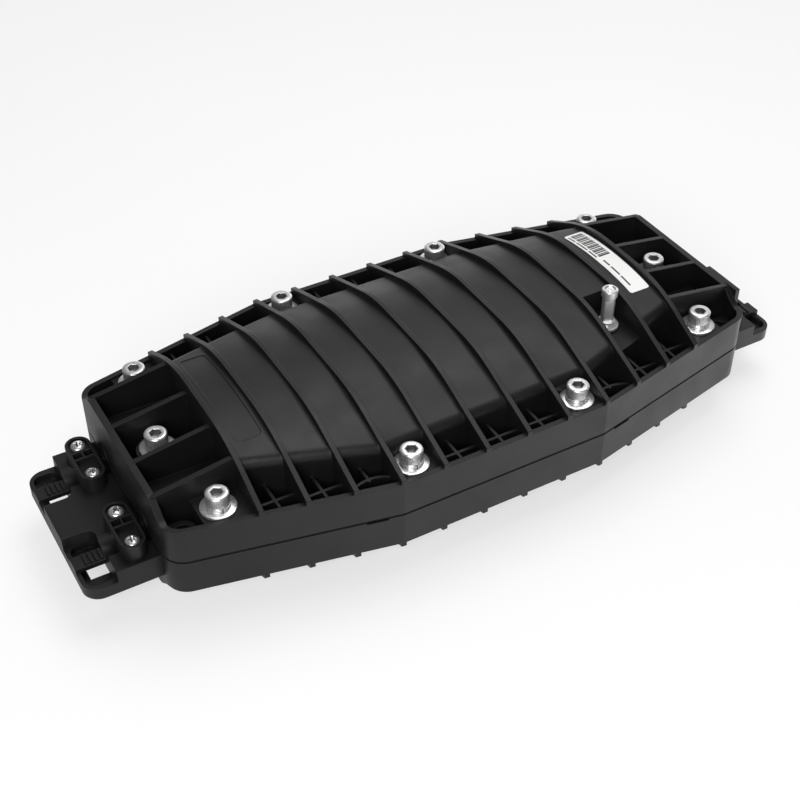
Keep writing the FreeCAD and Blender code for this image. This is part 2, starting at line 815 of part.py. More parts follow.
def valve_body():
    """Stem on a flange and a collar, with two wrench flats and a narrow mouth."""
    seat = platform_z + valve_seal_thick
    flange_top = seat + valve_flange_high
    collar_top = flange_top + valve_collar_high
    points = [(valve_bore_r, valve_tail_z), (valve_stem_r, valve_tail_z), (valve_stem_r, seat),
              (valve_flange_r, seat), (valve_flange_r, flange_top), (valve_collar_r, flange_top),
              (valve_collar_r, collar_top), (valve_stem_r, collar_top), (valve_stem_r, valve_shoulder_z),
              (valve_mouth_r, valve_shoulder_z), (valve_mouth_r, valve_mouth_z),
              (valve_bore_r, valve_mouth_z)]
    body = revolved(points, 0, 0)
    high = valve_shoulder_z - 1.5
    for side in (-1, 1):
        ys = sorted((side * valve_flat_half, side * (valve_stem_r + 2)))
        body = body.cut(box(-valve_collar_r, valve_collar_r, ys[0], ys[1], collar_top, high))
    body.rotate(V(0, 0, 0), V(0, 0, 1), valve_flat_turn)
    body.translate(V(valve_x, valve_y, 0))
    return body


def valve_seal():
    return ring(valve_flange_r, valve_hole_r, valve_x, valve_y, platform_z, platform_z + valve_seal_thick)


def valve_nut():
    top = platform_z - platform_thick
    nut = hexagon(nut_flats, valve_x, valve_y, top - 5, top)
    return nut.cut(rod(valve_stem_r + 0.05, valve_x, valve_y, top - 6, top + 1))


def valve_pin():
    """Core pin whose head guides it in the bore."""
    top = valve_mouth_z - 0.6
    points = [(0, valve_tail_z + 6), (pin_head_r, valve_tail_z + 6), (pin_head_r, valve_tail_z + 9),
              (pin_r, valve_tail_z + 10), (pin_r, top - 2.5), (pin_head_r, top - 2), (pin_head_r, top - 0.8),
              (pin_r, top), (0, top)]
    return revolved(points, valve_x, valve_y)


def valve_cap():
    """Screw cap with a dished top; its thread is a plain running fit over the mouth."""
    roof = valve_mouth_z + cap_washer_thick
    skirt = valve_shoulder_z + cap_skirt_gap
    bore = valve_mouth_r + cap_clear
    dish = cap_r - cap_rim
    points = [(bore, skirt), (cap_r - 0.3, skirt), (cap_r, skirt + 0.3), (cap_r, cap_top - 0.6),
              (cap_r - 0.6, cap_top), (dish, cap_top), (dish - 0.8, cap_top - cap_dish),
              (cap_boss_r + 0.3, cap_top - cap_dish), (cap_boss_r, cap_top - cap_dish / 2),
              (0, cap_top - cap_dish / 2), (0, roof), (bore, roof)]
    return revolved(points, valve_x, valve_y)


def cap_washer():
    return ring(valve_mouth_r, pin_head_r, valve_x, valve_y, valve_mouth_z, valve_mouth_z + cap_washer_thick)


def tray_bracket():
    """Bent sheet with two ears that hold the hinge pins."""
    x0, x1 = bracket_x
    half = bracket_half_width
    low = bracket_z
    top = low + bracket_thick
    sheet = [box(x0, x1, -half, half, low, top)]
    sheet.append(box(x0, ear_x, half - bracket_thick, half, low, ear_top))
    sheet.append(box(x0, ear_x, -half, -half + bracket_thick, low, ear_top))
    bracket = fuse_all(sheet)
    cuts = [rod(m4_hole_r, x, y, low - 1, top + 1) for x, y in four_ways(post_x, post_y)]
    for level in range(3):
        cuts.append(rod_along_y(hinge_hole_r, hinge_x, -half - 1, half + 1, hinge_z(level)))
    return bracket.cut(Part.makeCompound(cuts))


def tray_low(level):
    return bracket_z + bracket_thick + m4_head_high + 0.4 + tray_pitch * level


def hinge_z(level):
    return tray_low(level) + 4.5


def tray_plan(grow):
    x0, x1 = tray_x
    half = tray_half_width
    return [(x0 + grow, -half + grow), (x1 - grow, -half + grow),
            (x1 - grow, half - grow), (x0 + grow, half - grow)]


def splice_tray(level):
    """Open tray with feet or a rim to stack on, hinged at its left end."""
    low = tray_low(level)
    radii = [4, tray_round, tray_round, 4]
    tray = prism(tray_plan(0), radii, low, low + tray_pitch)
    room_radii = [radius - tray_wall for radius in radii]
    tray = tray.cut(prism(tray_plan(tray_wall), room_radii, low + tray_floor, low + tray_pitch + 1))
    for y in (hinge_lug_y, -hinge_lug_y):
        half = hinge_lug_thick / 2
        lug = box(hinge_x, tray_x[0] + 1, y - half, y + half, low + 1.5, low + 7.5)
        lug = lug.fuse(rod_along_y(3, hinge_x, y - half, y + half, hinge_z(level)))
        tray = tray.fuse(lug.cut(rod_along_y(hinge_hole_r, hinge_x, y - 9, y + 9, hinge_z(level))))
    if level == 0:
        tray = tray.multiFuse(tray_feet())
    return tray.removeSplitter()


def tray_feet():
    """Four feet that carry the lowest tray on the bracket."""
    low = bracket_z + bracket_thick
    return [rod(tray_foot_r, x, y, low, tray_low(0) + 0.5) for x, y in four_ways(tray_foot_x, tray_foot_y)]


def tray_lid():
    low = tray_low(2) + tray_pitch
    return prism(tray_plan(0), [4, tray_round, tray_round, 4], low, low + lid_thick)


def splice_comb(level):
    """Row of fins that hold the splice sleeves."""
    low = tray_low(level) + tray_floor
    half = comb_long / 2
    pieces = [box(-half, half, -comb_half_width, comb_half_width, low, low + 1.2)]
    step = (2 * comb_half_width - comb_fin_thick) / (comb_fins - 1)
    for i in range(comb_fins):
        y = -comb_half_width + step * i
        pieces.append(box(-half, half, y, y + comb_fin_thick, low, low + comb_high))
    return fuse_all(pieces)


def hinge_pins():
    reach = bracket_half_width + 1.5
    return [rod_along_y(hinge_pin_r, hinge_x, -reach, reach, hinge_z(level)) for level in range(3)]


def strength_anchor(x, y):
    """Plate with a groove for the strength member of a cable."""
    half_x = anchor_size[0] / 2
    half_y = anchor_size[1] / 2
    top = anchor_seat + anchor_thick
    plate = box(x - half_x, x + half_x, y - half_y, y + half_y, anchor_seat, top)
    groove = rod_along_x(1.4, x - 10, x + 10, y + 5.5, anchor_seat)
    return plate.cut(groove).cut(rod(m4_hole_r, x, y, anchor_seat - 1, top + 1))


def product_label():
    """Thin sticker that follows the arched skin in the last bay, over a film of glue."""
    return skin_patch(label_x, label_ys, label_round, -label_thick - label_glue, -label_glue)


def skin_patch(xs, ys, radius, high, low):
    """Rounded patch of the arched skin between two drops below its surface."""
    plan = [(xs[0], ys[0]), (xs[1], ys[0]), (xs[1], ys[1]), (xs[0], ys[1])]
    patch = prism(plan, [radius] * 4, wall_top, rib_crown)
    patch = patch.common(arched_block(high, xs[0] - 5, xs[1] + 5))
    return patch.cut(arched_block(low, xs[0] - 5, xs[1] + 5))


def save(name, shape):
    shape.translate(lift)
    shape.exportStep("parts/" + name + ".step")


def save_group(name, shapes):
    save(name, Part.makeCompound(shapes))


def side_name(x, y):
    return ("right" if x > 0 else "left") + ("_back" if y > 0 else "_front")


def main():
    shared = half_shell()
    save("upper_shell", upper_shell(shared))
    save("lower_shell", lower_shell(shared))
    for name, path in cord_paths().items():
        save(name, cord_block(path, cord_wide / 2))
    save_group("cover_bolts", [cover_bolt(x, y) for x, y in all_bolts()])
    save_group("flat_washers", [flat_washer(x, y) for x, y in all_bolts()])
    save_group("spring_washers", [spring_washer(x, y) for x, y in all_bolts()])
    save_group("captive_nuts", [captive_nut(x, y) for x, y in all_bolts()])
    screws = []
    for x, y in four_ways(clamp_x, port_y):
        save("clamp_" + side_name(x, y), cable_clamp(x, y))
        for screw_y, seat in zip(clamp_screw_ys(1 if y > 0 else -1), (clamp_front_floor, clamp_back_floor)):
            screws.append(pan_screw(x, screw_y, seat, clamp_screw_tip))
    save_group("clamp_screws", screws)
    for x, y in four_ways(1, port_y):
        save("port_plug_" + side_name(x, y), port_plug(x, y))
    save("valve_body", valve_body())
    save("valve_seal", valve_seal())
    save("valve_nut", valve_nut())
    save("valve_pin", valve_pin())
    save("valve_cap", valve_cap())
    save("cap_washer", cap_washer())
    save("tray_bracket", tray_bracket())
    top = bracket_z + bracket_thick
    bracket_screws = [pan_screw(x, y, top, top - bracket_screw_long)
                      for x, y in four_ways(post_x, post_y)]
    save_group("bracket_screws", bracket_screws)
    for level in range(3):
        save("splice_tray_" + str(level + 1), splice_tray(level))
        save("splice_comb_" + str(level + 1), splice_comb(level))
    save("tray_lid", tray_lid())
    save_group("tray_hinge_pins", hinge_pins())
    anchor_top = anchor_seat + anchor_thick
    for x, y in four_ways(anchor_x, port_y):
        save("anchor_" + side_name(x, y), strength_anchor(x, y))
    anchor_screws = [pan_screw(x, y, anchor_top, anchor_top - anchor_screw_long)
                     for x, y in four_ways(anchor_x, port_y)]
    save_group("anchor_screws", anchor_screws)
    save("product_label", product_label())


main()
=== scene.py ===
import bpy
import json
import math
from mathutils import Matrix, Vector

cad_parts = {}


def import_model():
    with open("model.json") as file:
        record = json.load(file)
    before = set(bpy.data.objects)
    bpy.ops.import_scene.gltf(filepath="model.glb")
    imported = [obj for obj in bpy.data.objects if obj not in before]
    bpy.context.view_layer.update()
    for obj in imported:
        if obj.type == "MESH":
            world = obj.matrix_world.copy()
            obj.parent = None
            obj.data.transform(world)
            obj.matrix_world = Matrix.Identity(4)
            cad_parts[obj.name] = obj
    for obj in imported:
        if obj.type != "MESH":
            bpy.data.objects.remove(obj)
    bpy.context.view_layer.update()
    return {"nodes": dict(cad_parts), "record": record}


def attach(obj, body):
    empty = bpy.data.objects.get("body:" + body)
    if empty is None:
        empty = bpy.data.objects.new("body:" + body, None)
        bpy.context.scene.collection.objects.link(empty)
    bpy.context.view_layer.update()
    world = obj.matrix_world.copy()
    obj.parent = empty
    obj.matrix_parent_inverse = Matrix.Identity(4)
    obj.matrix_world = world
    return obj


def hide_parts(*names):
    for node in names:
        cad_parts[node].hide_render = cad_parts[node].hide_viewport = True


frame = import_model()
nodes = frame["nodes"]
scene = bpy.context.scene


def grey(value):
    """Colour with three equal parts."""
    return (value, value, value)


# lengths are in millimetres and heights are above the floor, up to the studio's values
MM = 0.001
PARTING = 45.6

# painted shade of the gap along the joint of the shells: a darker, rougher band reaching this far over and
# under the parting plane
JOINT_SHADE_HALF = 0.75

# washers under the cover bolts; a rolled edge is a list of (inset, rise) steps
BOLT_SEAT = PARTING + 20.5
FLAT_WASHER_THICK = 1.8
FLAT_WASHER_RADII = (4.5, 10.2)
FLAT_WASHER_EDGE = ((0.45, 0.0), (0.12, 0.2), (0.0, 0.6))
SPRING_WASHER_THICK = 2.0
SPRING_WASHER_RADII = (4.2, 6.9)
SPRING_WASHER_EDGE = ((0.7, 0.0), (0.3, 0.14), (0.07, 0.45), (0.0, 1.0))
SPRING_START_DEG = -86
SPRING_SWEEP_DEG = 352

# cover bolts, M8
CORNER_BOLT = (160.0, 59.28)
SIDE_BOLT = (54.87, 80.3)
END_BOLT_X = 170.3
BOLT_PLACES = []
for side in (-1, 1):
    for x, y in (CORNER_BOLT, SIDE_BOLT):
        BOLT_PLACES += [(side * x, -y), (side * x, y)]
    BOLT_PLACES.append((side * END_BOLT_X, 0.0))
BOLT_R = 4.0
BOLT_LENGTH = 45.0
BOLT_THREAD_LONG = 26.0
BOLT_THREAD_DEEP = 0.55
BOLT_THREAD_PITCH = 1.25
BOLT_HEAD_R = 6.5
BOLT_HEAD_SEAT = BOLT_SEAT + FLAT_WASHER_THICK + SPRING_WASHER_THICK
BOLT_HEAD_HIGH = 8.0
BOLT_TOP = BOLT_HEAD_SEAT + BOLT_HEAD_HIGH
BOLT_SOCKET_FLATS = 6.0
BOLT_SOCKET_DEEP = 4.0
KNURL_DEEP = 0.22
KNURL_COUNT = 36

# clamp screws, M4: places, and the seats of the two screws of a clamp
CLAMP_X = 204.0
CLAMP_Y = 30.4
CLAMP_SCREW_SEATS = ((-11.6, PARTING + 0.9), (11.6, PARTING + 2.9))
CLAMP_SCREW_PLACES = [(sx * CLAMP_X, sy * CLAMP_Y + offset, seat)
                      for sx in (-1, 1) for sy in (-1, 1) for offset, seat in CLAMP_SCREW_SEATS]
CLAMP_SCREW_TIP = PARTING - 17.0
CLAMP_SCREW_R = 2.0
CLAMP_THREAD_DEEP = 0.28
CLAMP_THREAD_PITCH = 0.7
PAN_R = 4.3
PAN_SIDE_HIGH = 1.1
PAN_DOME_HIGH = 2.0
PAN_DOME_POWER = 2.6
CROSS_DEEP = 1.9
CROSS_REACH = 2.4
CROSS_ARM_HALF = 0.55
CROSS_ROOT_FLARE = 0.35
CROSS_ROOT_REACH = 1.1
CROSS_END_SLOPE = 1.2
CROSS_SIDE_SLOPE = 0.16
CROSS_FIRST_TURN = 0.4
CROSS_TURN_STEP = 0.55

# points round a bolt, a washer and a pan head, and rings over a pan head's dome
BOLT_POINTS = 144
WASHER_POINTS = 72
PAN_POINTS = 96
PAN_DOME_RINGS = 26

# label: bars along y with three widths in turn, and strips as an x range with blocks along y
LABEL_BAR_COUNT = 17
LABEL_BAR_FIRST = 34.9
LABEL_BAR_STEP = 1.9
LABEL_BAR_WIDTHS = (0.95, 1.65, 1.3)
LABEL_BAR_X = (129.6, 138.0)
LABEL_STRIPS = [((127.4, 128.5), [(28.0, 35.5), (15.0, 26.5), (5.0, 13.5)]),
                ((129.2, 130.4), [(-6.0, 0.5), (-16.5, -7.5), (-27.5, -18.0)])]

# moulded finishes by slot: darkest and lightest colour, roughness, size of the grain and of soft edges
MOULDED = {
    "shell_plastic": (grey(0.004), grey(0.007), 0.45, 0.5, 0.6),
    "clamp_plastic": (grey(0.005), grey(0.009), 0.40, 0.5, 0.4),
    "seal_rubber": (grey(0.008), grey(0.012), 0.62, 0.8, 0.3),
    "tray_plastic": ((0.30, 0.30, 0.29), (0.36, 0.36, 0.35), 0.45, 0.5, 0.3),
    "lid_plastic": ((0.45, 0.47, 0.48), (0.52, 0.54, 0.55), 0.25, 0.5, 0.3),
}
JOINT_SLOT = "shell_plastic"

# metal finishes by slot: darkest and lightest colour, roughness, size of soft edges
PLATED = {
    "zinc_steel": (grey(0.74), grey(0.88), 0.29, 0.25),
    "valve_metal": (grey(0.76), grey(0.9), 0.33, 0.2),
    "pin_brass": ((0.55, 0.38, 0.14), (0.68, 0.48, 0.2), 0.28, 0.1),
    "bracket_steel": ((0.42, 0.42, 0.43), (0.55, 0.55, 0.56), 0.35, 0.2),
}
# painted shade: darker zinc for the faces inside bolt sockets and screw cross recesses, standing in for
# the shade there
ZINC_PAINTED_SHADE = (grey(0.22), grey(0.34), 0.36, 0.1)

# edges sharper than this stay sharp, in degrees
NODE_SMOOTH_DEG = 30
PIECE_SMOOTH_DEG = 32

# studio, in metres and watts; the floor glows in reflections with a strength that changes along a
# direction, a painted light that is brighter along that direction
FLOOR_REACH = 6.0
FLOOR_OWN_WHITE = 0.55
FLOOR_PAINTED_GLOW_WAY = (2.2, -0.6, 0)
FLOOR_PAINTED_GLOW_RANGE = (0.1, 0.85)
FLOOR_PAINTED_GLOW_STRENGTH = (0.23, 2.26)
WORLD_FILL = 0.25
WORLD_WALLS = 2.0
WORLD_BRIGHT_WAY = (0.45, 0.45, -0.25)
BACKDROP_WHITE = 0.94
KEY_LAMP = {"place": (0.45, 0.3, 1.5), "aim": (0, 0, 0.03), "size": 1.2, "power": 13}
FRONT_LAMP = {"place": (-1.1, -1.5, 1.3), "aim": (0, 0, 0.05), "size": 1.1, "power": 38}

# camera solved from the places of the ten cover bolts in the photograph
CAMERA_TURN = math.radians(-29.60)
CAMERA_RISE = math.radians(40.30)
CAMERA_DISTANCE = 0.77877
CAMERA_TARGET = (-0.04034, -0.04228, 0.0779)
CAMERA_SENSOR = 36
CAMERA_LENS = 62.352


def new_material(name):
    """Empty node material; gives its tree and its shader."""
    material = bpy.data.materials.new(name)
    material.use_nodes = True
    tree = material.node_tree
    return material, tree, tree.nodes["Principled BSDF"]


def add(tree, kind, **values):
    """New node with some of its sockets set by name."""
    node = tree.nodes.new(kind)
    for key, value in values.items():
        node.inputs[key.replace("_", " ")].default_value = value
    return node


def math_node(tree, kind, first, second):
    """Maths on two values, each a number or another node's output."""
    node = tree.nodes.new("ShaderNodeMath")
    node.operation = kind
    for socket, value in zip(node.inputs, (first, second)):
        if isinstance(value, float):
            socket.default_value = value
        else:
            tree.links.new(value, socket)
    return node.outputs[0]


def both(tree, first, second):
    """1 where both values are 1."""
    return math_node(tree, "MULTIPLY", first, second)


def joined(tree, first, second):
    """1 where either value is 1; the first may be missing."""
    if first is None:
        return second
    return math_node(tree, "MAXIMUM", first, second)


def between(tree, value, low_mm, high_mm):
    """1 where a length lies between two others."""
    above = math_node(tree, "GREATER_THAN", value, low_mm * MM)
    below = math_node(tree, "LESS_THAN", value, high_mm * MM)
    return both(tree, above, below)


def noise(tree, scale, detail, spot):
    """Noise value at a place."""
    node = add(tree, "ShaderNodeTexNoise", Scale=scale, Detail=detail)
    tree.links.new(spot, node.inputs["Vector"])
    return node.outputs["Fac"]


def spread(tree, value, low, high, start=0.3, end=0.7):
    """Maps a value from one range to another; a noise value by default."""
    node = add(tree, "ShaderNodeMapRange", From_Min=start, From_Max=end, To_Min=low, To_Max=high)
    tree.links.new(value, node.inputs["Value"])
    return node.outputs["Result"]


def ramp(tree, value, stops):
    """Colour from a value, by stops of (place, colour)."""
    node = tree.nodes.new("ShaderNodeValToRGB")
    elements = node.color_ramp.elements
    while len(elements) < len(stops):
        elements.new(0.5)
    for element, (place, colour) in zip(elements, stops):
        element.position = place
        element.color = (*colour, 1)
    tree.links.new(value, node.inputs["Fac"])
    return node.outputs["Color"]


def place_of(tree):
    """Place on the object, in metres."""
    return tree.nodes.new("ShaderNodeTexCoord").outputs["Object"]


def axes_of(tree, spot):
    """A place's coordinates, by the names X, Y and Z."""
    node = tree.nodes.new("ShaderNodeSeparateXYZ")
    tree.links.new(spot, node.inputs["Vector"])
    return node.outputs


def towards(tree, spot, direction):
    """How far a place or a ray lies along a direction, 0.5 in the middle."""
    dot = tree.nodes.new("ShaderNodeVectorMath")
    dot.operation = "DOT_PRODUCT"
    tree.links.new(spot, dot.inputs[0])
    dot.inputs[1].default_value = direction
    return math_node(tree, "ADD", math_node(tree, "MULTIPLY", dot.outputs["Value"], 0.5), 0.5)


def mixed(tree, factor, first, second):
    """Blend of two shaders."""
    mix = tree.nodes.new("ShaderNodeMixShader")
    tree.links.new(factor, mix.inputs["Fac"])
    tree.links.new(first, mix.inputs[1])
    tree.links.new(second, mix.inputs[2])
    return mix.outputs[0]


def seen_directly(tree):
    """1 for camera, transmission and glossy rays."""
    path = tree.nodes.new("ShaderNodeLightPath").outputs
    first = math_node(tree, "MAXIMUM", path["Is Camera Ray"], path["Is Transmission Ray"])
    return math_node(tree, "MAXIMUM", first, path["Is Glossy Ray"])


def soft_edges(tree, shader, radius_mm, height, strength, distance_mm):
    """Rounds the look of the edges and adds a fine grain."""
    bevel = add(tree, "ShaderNodeBevel", Radius=radius_mm * MM)
    bevel.samples = 6
    bump = add(tree, "ShaderNodeBump", Strength=strength, Distance=distance_mm * MM)
    tree.links.new(height, bump.inputs["Height"])
    tree.links.new(bevel.outputs["Normal"], bump.inputs["Normal"])
    tree.links.new(bump.outputs["Normal"], shader.inputs["Normal"])


def moulded_plastic(name, dark, light, rough, grain_mm, edge_mm, joint):
    """Fine-grained moulding with faint cloudy gloss and, on the shells, painted shade along the joint: a
    band there made rougher and darkened.
    """
    material, tree, shader = new_material(name)
    spot = place_of(tree)
    cloud = noise(tree, 18.0, 4.0, spot)
    gloss = spread(tree, noise(tree, 45.0, 3.0, spot), rough - 0.05, rough + 0.06)
    # painted shade of the joint's gap: rougher, and darker in colour
    if joint:
        joint_shade = between(tree, axes_of(tree, spot)["Z"], PARTING - JOINT_SHADE_HALF, PARTING + JOINT_SHADE_HALF)
        gloss = math_node(tree, "MAXIMUM", gloss, joint_shade)
        cloud = math_node(tree, "SUBTRACT", cloud, joint_shade)
    colour = ramp(tree, cloud, [(0.0, grey(0.0005)), (0.3, dark), (0.7, light)])
    tree.links.new(colour, shader.inputs["Base Color"])
    tree.links.new(gloss, shader.inputs["Roughness"])
    shader.inputs["Specular IOR Level"].default_value = 0.36
    grain = noise(tree, 1000.0 / grain_mm, 2.0, spot)
    soft_edges(tree, shader, edge_mm, grain, 0.16, 0.04)
    return material


def bright_metal(name, dark, light, rough, edge_mm):
    """Plated metal with a very fine grain and cloudy gloss."""
    material, tree, shader = new_material(name)
    shader.inputs["Metallic"].default_value = 0.9
    spot = place_of(tree)
    colour = ramp(tree, noise(tree, 160.0, 5.0, spot), [(0.3, dark), (0.7, light)])
    tree.links.new(colour, shader.inputs["Base Color"])
    gloss = spread(tree, noise(tree, 420.0, 4.0, spot), rough - 0.03, rough + 0.05)
    tree.links.new(gloss, shader.inputs["Roughness"])
    soft_edges(tree, shader, edge_mm, noise(tree, 1500.0, 2.0, spot), 0.03, 0.02)
    return material


def label_paper():
    """White film with plain bars and strips."""
    material, tree, shader = new_material("label_film")
    shader.inputs["Roughness"].default_value = 0.42
    spot = place_of(tree)
    axes = axes_of(tree, spot)
    bars = None
    for i in range(LABEL_BAR_COUNT):
        start = LABEL_BAR_FIRST - LABEL_BAR_STEP * i
        end = start + LABEL_BAR_WIDTHS[i % len(LABEL_BAR_WIDTHS)]
        bars = joined(tree, bars, between(tree, axes["Y"], start, end))
    ink = both(tree, bars, between(tree, axes["X"], *LABEL_BAR_X))
    for across, blocks in LABEL_STRIPS:
        strip = None
        for start, end in blocks:
            strip = joined(tree, strip, between(tree, axes["Y"], start, end))
        ink = joined(tree, ink, both(tree, strip, between(tree, axes["X"], *across)))
    colour = ramp(tree, ink, [(0.0, (0.83, 0.83, 0.82)), (1.0, grey(0.02))])
    tree.links.new(colour, shader.inputs["Base Color"])
    soft_edges(tree, shader, 0.1, noise(tree, 600.0, 3.0, spot), 0.04, 0.02)
    return material


def floor_paper():
    """White sweep: partly its own white, with the object's shadow on it; in reflections it glows unevenly,
    a painted light that is brighter along one direction.
    """
    material, tree, shader = new_material("floor_paper")
    spot = place_of(tree)
    colour = ramp(tree, noise(tree, 3.0, 2.0, spot), [(0.3, grey(0.92)), (0.7, grey(0.94))])
    tree.links.new(colour, shader.inputs["Base Color"])
    shader.inputs["Roughness"].default_value = 0.75
    glow = add(tree, "ShaderNodeEmission", Color=(1, 1, 1, 1))
    # painted light: the floor's glow seen in reflections grows along a direction
    along = towards(tree, spot, FLOOR_PAINTED_GLOW_WAY)
    painted_glow = spread(tree, along, *FLOOR_PAINTED_GLOW_STRENGTH, *FLOOR_PAINTED_GLOW_RANGE)
    glossy_ray = tree.nodes.new("ShaderNodeLightPath").outputs["Is Glossy Ray"]
    change = math_node(tree, "MULTIPLY", glossy_ray, math_node(tree, "SUBTRACT", painted_glow, 1.0))
    tree.links.new(math_node(tree, "ADD", change, 1.0), glow.inputs["Strength"])
    share = math_node(tree, "MULTIPLY", seen_directly(tree), FLOOR_OWN_WHITE)
    paper = mixed(tree, share, shader.outputs[0], glow.outputs[0])
    tree.links.new(paper, tree.nodes["Material Output"].inputs["Surface"])
    return material


def smooth(mesh, angle):
    """Smooth shading, broken at edges sharper than an angle in degrees."""
    for polygon in mesh.polygons:
        polygon.use_smooth = True
    mesh.set_sharp_from_angle(angle=math.radians(angle))


def finish_nodes():
    """Gives every CAD node its material, by its slot."""
    by_slot = {"label_film": label_paper()}
    for slot, values in MOULDED.items():
        by_slot[slot] = moulded_plastic(slot, *values, joint=slot == JOINT_SLOT)
    for slot, values in PLATED.items():
        by_slot[slot] = bright_metal(slot, *values)
    slots = {part["node"]: part["material_slot"] for part in frame["record"]["subparts"]}
    for name, thing in nodes.items():
        thing.data.materials.clear()
        thing.data.materials.append(by_slot[slots[name]])
        smooth(thing.data, NODE_SMOOTH_DEG)
    return by_slot


def piece(name, points, faces, material, body):
    """Mesh object from points in millimetres, riding on a body."""
    mesh = bpy.data.meshes.new(name)
    mesh.from_pydata([Vector(p) * MM for p in points], [], faces)
    mesh.validate()
    mesh.update()
    mesh.materials.append(material)
    thing = bpy.data.objects.new(name, mesh)
    scene.collection.objects.link(thing)
    smooth(mesh, PIECE_SMOOTH_DEG)
    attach(thing, body)
    return thing


def paint_recess_shade(thing, material, inside):
    """Paints shade into a recess: gives a second, darker material to the faces whose middle lies in it."""
    thing.data.materials.append(material)
    for polygon in thing.data.polygons:
        if inside(polygon.center / MM):
            polygon.material_index = 1


def nearest(places, point):
    """Distance along the ground from the nearest of some places, and that place."""
    return min((math.hypot(point.x - place[0], point.y - place[1]), place) for place in places)


def ring(centre, radius, height, count):
    """Points of a level ring; the radius may be a function of the angle."""
    x, y = centre
    points = []
    for i in range(count):
        angle = 2 * math.pi * i / count
        r = radius(angle) if callable(radius) else radius
        points.append((x + r * math.cos(angle), y + r * math.sin(angle), height))
    return points


class Lathe:
    """Gathers stacked rings of points into one closed turned form after another."""

    def __init__(self):
        self.points = []
        self.faces = []

    def turn(self, centre, rings, count):
        """Each ring is (height, radius), in order from the tip; both ends are closed to a point."""
        first = len(self.points)
        for height, radius in rings:
            self.points.extend(ring(centre, radius, height, count))
        for k in range(len(rings) - 1):
            low = first + k * count
            for i in range(count):
                j = (i + 1) % count
                self.faces.append((low + i, low + j, low + count + j, low + count + i))
        self.close(first, count, (*centre, rings[0][0]), True)
        self.close(first + (len(rings) - 1) * count, count, (*centre, rings[-1][0]), False)

    def close(self, start, count, middle, turned):
        """Fan of faces from a ring to a point in its middle."""
        self.points.append(middle)
        centre = len(self.points) - 1
        for i in range(count):
            j = (i + 1) % count
            ends = (start + j, start + i) if turned else (start + i, start + j)
            self.faces.append((*ends, centre))


def hexagon_radius(flats):
    """Distance from the middle of a hexagon to its side, by the angle."""
    def radius(angle):
        part = (angle + math.pi / 6) % (math.pi / 3) - math.pi / 6
        return flats / 2 / math.cos(part)
    return radius


def fluted(radius, depth, count):
    """Radius of a fluted round, by the angle."""
    def flute(angle):
        return radius - depth * (0.5 + 0.5 * math.cos(count * angle))
    return flute


def thread_rings(low, high, radius, depth, pitch):
    """Rings that read as a thread along a shank."""
    rings = []
    height = low
    while height + pitch <= high:
        rings += [(height, radius - depth), (height + pitch * 0.5, radius)]
        height += pitch
    return rings + [(high, radius - depth)]


def in_socket(point):
    """Whether a point lies in the hex socket of a cover bolt."""
    sunk = BOLT_TOP - point.z
    return 0.3 < sunk < BOLT_SOCKET_DEEP + 1.0 and nearest(BOLT_PLACES, point)[0] < 3.8


def cover_bolts(material, shade):
    """Socket cap screws with knurled heads and threaded ends."""
    seat = BOLT_HEAD_SEAT
    top = BOLT_TOP
    tip = seat - BOLT_LENGTH
    thread_end = tip + BOLT_THREAD_LONG
    knurl = fluted(BOLT_HEAD_R, KNURL_DEEP, KNURL_COUNT)
    socket = hexagon_radius(BOLT_SOCKET_FLATS)
    wide_socket = hexagon_radius(BOLT_SOCKET_FLATS + 0.7)
    shank = [(tip, BOLT_R - 0.9)]
    shank += thread_rings(tip + 0.5, thread_end, BOLT_R, BOLT_THREAD_DEEP, BOLT_THREAD_PITCH)
    shank += [(thread_end + 1.0, BOLT_R)]
    head = [(seat, BOLT_R), (seat, BOLT_HEAD_R - 0.8), (seat + 0.5, BOLT_HEAD_R - 0.1),
            (seat + 0.7, BOLT_HEAD_R), (seat + 1.2, BOLT_HEAD_R), (seat + 1.4, knurl),
            (top - 1.5, knurl), (top - 1.3, BOLT_HEAD_R), (top - 0.7, BOLT_HEAD_R),
            (top - 0.15, BOLT_HEAD_R - 0.5), (top, BOLT_HEAD_R - 0.8)]
    recess = [(top, 4.4), (top - 0.05, wide_socket), (top - 0.35, socket),
              (top - BOLT_SOCKET_DEEP, socket), (top - BOLT_SOCKET_DEEP - 0.9, 0.6)]
    lathe = Lathe()
    for place in BOLT_PLACES:
        lathe.turn(place, shank + head + recess, BOLT_POINTS)
    thing = piece("cover_bolt_set", lathe.points, lathe.faces, material, "housing")
    # painted shade inside the hex sockets
    paint_recess_shade(thing, shade, in_socket)
    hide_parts("cover_bolts")


def rolled_profile(radii, low, thick, edge):
    """Section of a washer with a rolled outer edge, as (radius, height) points."""
    inner, outer = radii
    high = low + thick
    below = [(outer - inset, low + rise) for inset, rise in edge]
    above = [(outer - inset, high - rise) for inset, rise in reversed(edge) if 2 * rise < thick]
    return [(inner, low)] + below + above + [(inner, high)]


def swept_ring(points, faces, centre, profile, start, sweep, count):
    """Sweeps a closed profile of (radius, height) round an axis; a part turn gets flat ends."""
    x, y = centre
    first = len(points)
    size = len(profile)
    whole = sweep == 360
    steps = count if whole else count + 1
    for k in range(steps):
        angle = math.radians(start + sweep * k / count)
        points.extend((x + r * math.cos(angle), y + r * math.sin(angle), z) for r, z in profile)
    for k in range(count):
        near = first + k * size
        far = first + (k + 1) % steps * size
        for i in range(size):
            j = (i + 1) % size
            faces.append((near + i, far + i, far + j, near + j))
    if not whole:
        faces.append(tuple(first + i for i in range(size)))
        faces.append(tuple(first + count * size + i for i in reversed(range(size))))


def washer_set(name, node, material, profile, start, sweep):
    """One washer at each cover bolt."""
    points = []
    faces = []
    for place in BOLT_PLACES:
        swept_ring(points, faces, place, profile, start, sweep, WASHER_POINTS)
    thing = piece(name, points, faces, material, "housing")
    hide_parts(node)


